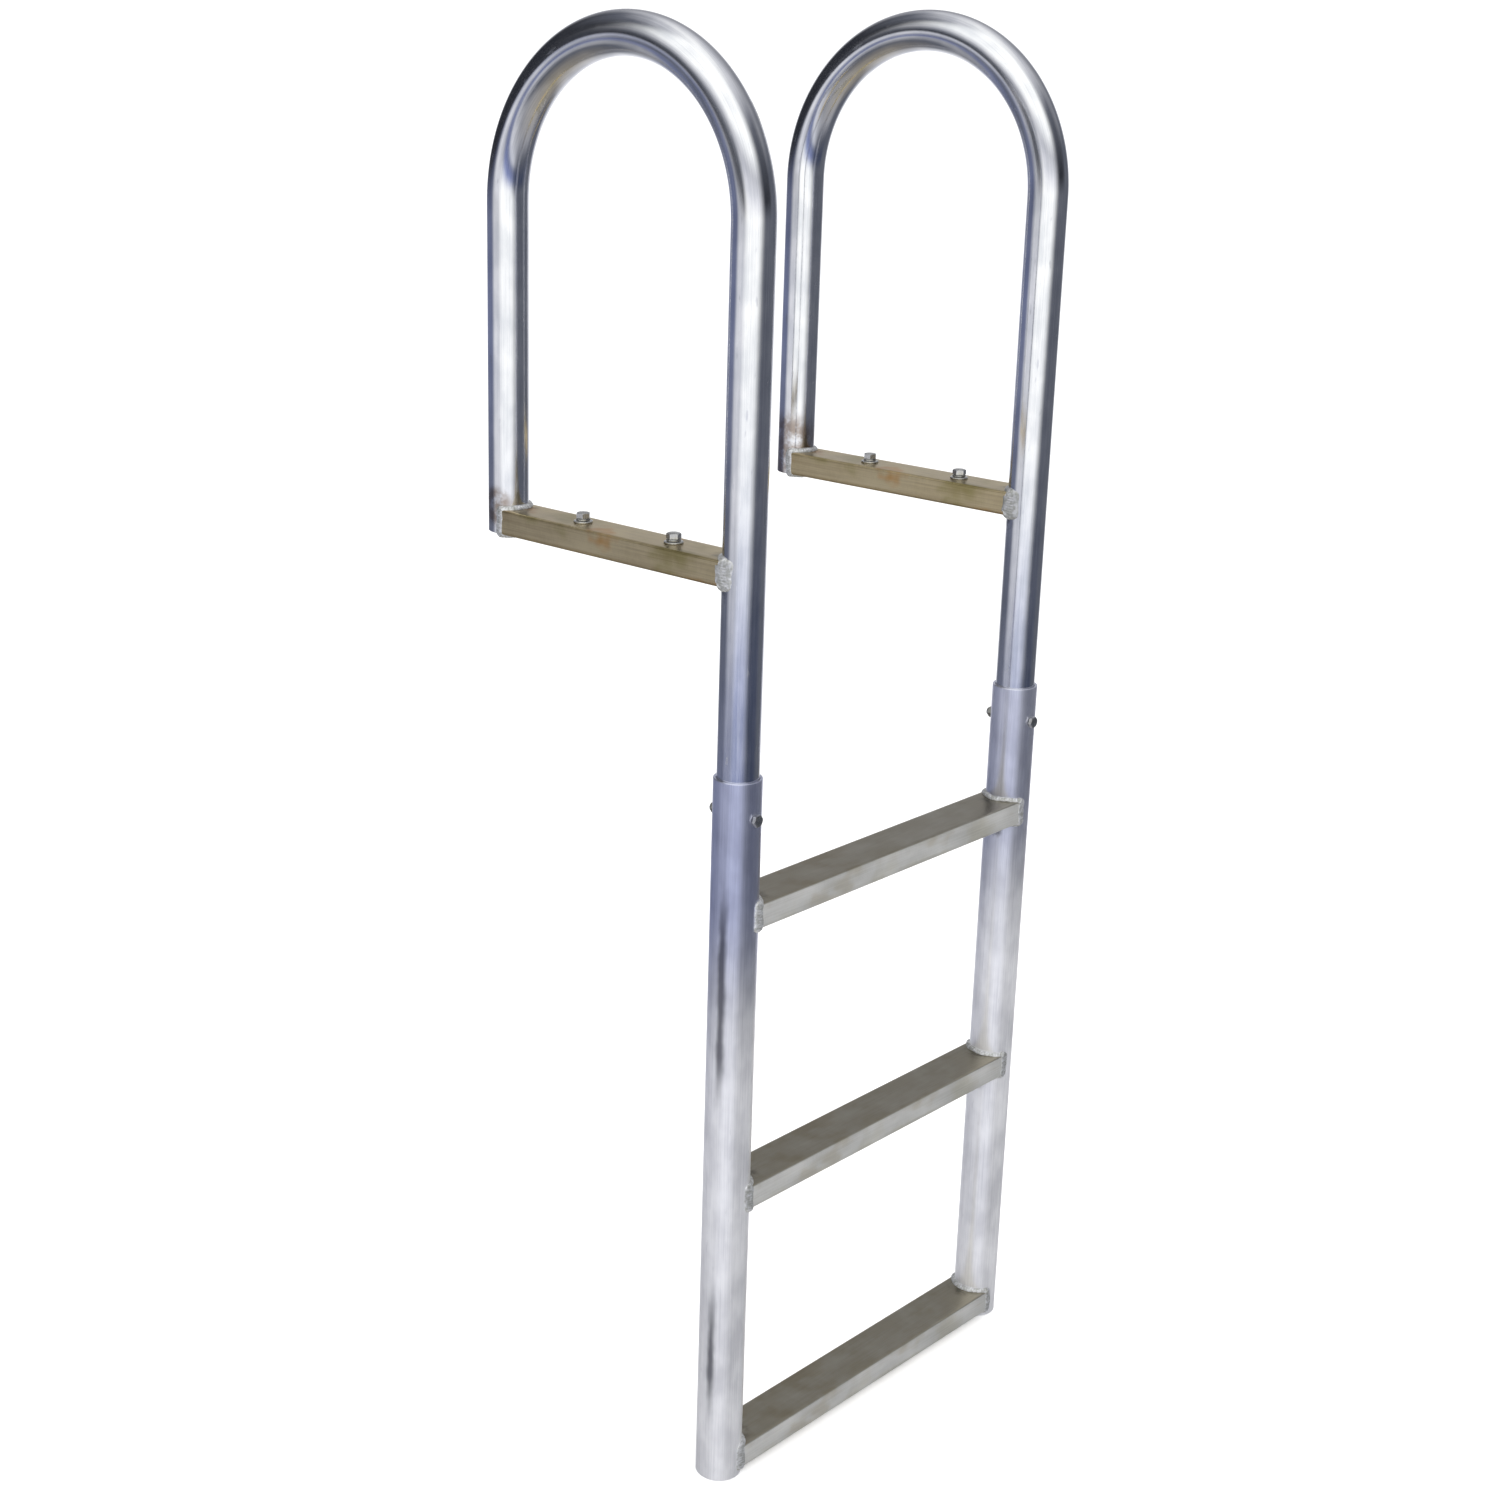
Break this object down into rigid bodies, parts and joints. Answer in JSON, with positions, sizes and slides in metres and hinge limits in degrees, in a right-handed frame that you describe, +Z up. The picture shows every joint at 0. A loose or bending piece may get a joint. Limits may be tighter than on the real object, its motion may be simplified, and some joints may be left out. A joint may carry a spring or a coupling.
{
  "type": "boat boarding ladder",
  "caption": "Fixed dock boarding ladder: looped tube handrails bolted to a deck by flat bars, with tube side rails and box-tube steps hanging below.",
  "frame": {"origin": "on the plane of the dock's deck, which is the underside of the deck bars, midway between the axes of the two front legs", "axes": "+X across the ladder, from its left rail to its right rail as seen from the water; +Y from the water towards the dock; +Z up"},
  "size_m": [0.4976, 0.3688, 1.4661],
  "materials": {
    "bright_aluminium": "bright drawn tube with fine lengthwise marks",
    "satin_aluminium": "satin mill-finished tube",
    "extruded_aluminium": "dull mill-finished extrusion with fine marks",
    "fastener_steel": "plain stainless steel"
  },
  "bodies": {
    "frame": {"handrail_left": "bright_aluminium", "deck_bar_left": "extruded_aluminium", "lower_rail_left": "satin_aluminium", "handrail_right": "bright_aluminium", "deck_bar_right": "extruded_aluminium", "lower_rail_right": "satin_aluminium", "step_upper": "extruded_aluminium", "step_middle": "extruded_aluminium", "step_lower": "extruded_aluminium", "lock_washer_front_left": "fastener_steel", "flat_washer_front_left": "fastener_steel", "lock_washer_back_left": "fastener_steel", "flat_washer_back_left": "fastener_steel", "lock_washer_front_right": "fastener_steel", "flat_washer_front_right": "fastener_steel", "lock_washer_back_right": "fastener_steel", "flat_washer_back_right": "fastener_steel"},
    "cross_bolt_left": {"cross_bolt_left": "fastener_steel"},
    "cross_nut_left": {"cross_nut_left": "fastener_steel"},
    "deck_bolt_front_left": {"deck_bolt_front_left": "fastener_steel"},
    "deck_bolt_back_left": {"deck_bolt_back_left": "fastener_steel"},
    "cross_bolt_right": {"cross_bolt_right": "fastener_steel"},
    "cross_nut_right": {"cross_nut_right": "fastener_steel"},
    "deck_bolt_front_right": {"deck_bolt_front_right": "fastener_steel"},
    "deck_bolt_back_right": {"deck_bolt_back_right": "fastener_steel"}
  },
  "joints": [
    {"name": "cross_bolt_left_withdraw", "type": "slide", "parent": "frame", "child": "cross_bolt_left", "axis": [0, -1, 0], "range_m": [0, 0.065]},
    {"name": "cross_nut_left_withdraw", "type": "slide", "parent": "frame", "child": "cross_nut_left", "axis": [0, 1, 0], "range_m": [0, 0.015]},
    {"name": "deck_bolt_front_left_withdraw", "type": "slide", "parent": "frame", "child": "deck_bolt_front_left", "axis": [0, 0, 1], "range_m": [0, 0.03]},
    {"name": "deck_bolt_back_left_withdraw", "type": "slide", "parent": "frame", "child": "deck_bolt_back_left", "axis": [0, 0, 1], "range_m": [0, 0.03]},
    {"name": "cross_bolt_right_withdraw", "type": "slide", "parent": "frame", "child": "cross_bolt_right", "axis": [0, -1, 0], "range_m": [0, 0.065]},
    {"name": "cross_nut_right_withdraw", "type": "slide", "parent": "frame", "child": "cross_nut_right", "axis": [0, 1, 0], "range_m": [0, 0.015]},
    {"name": "deck_bolt_front_right_withdraw", "type": "slide", "parent": "frame", "child": "deck_bolt_front_right", "axis": [0, 0, 1], "range_m": [0, 0.03]},
    {"name": "deck_bolt_back_right_withdraw", "type": "slide", "parent": "frame", "child": "deck_bolt_back_right", "axis": [0, 0, 1], "range_m": [0, 0.03]}
  ]
}
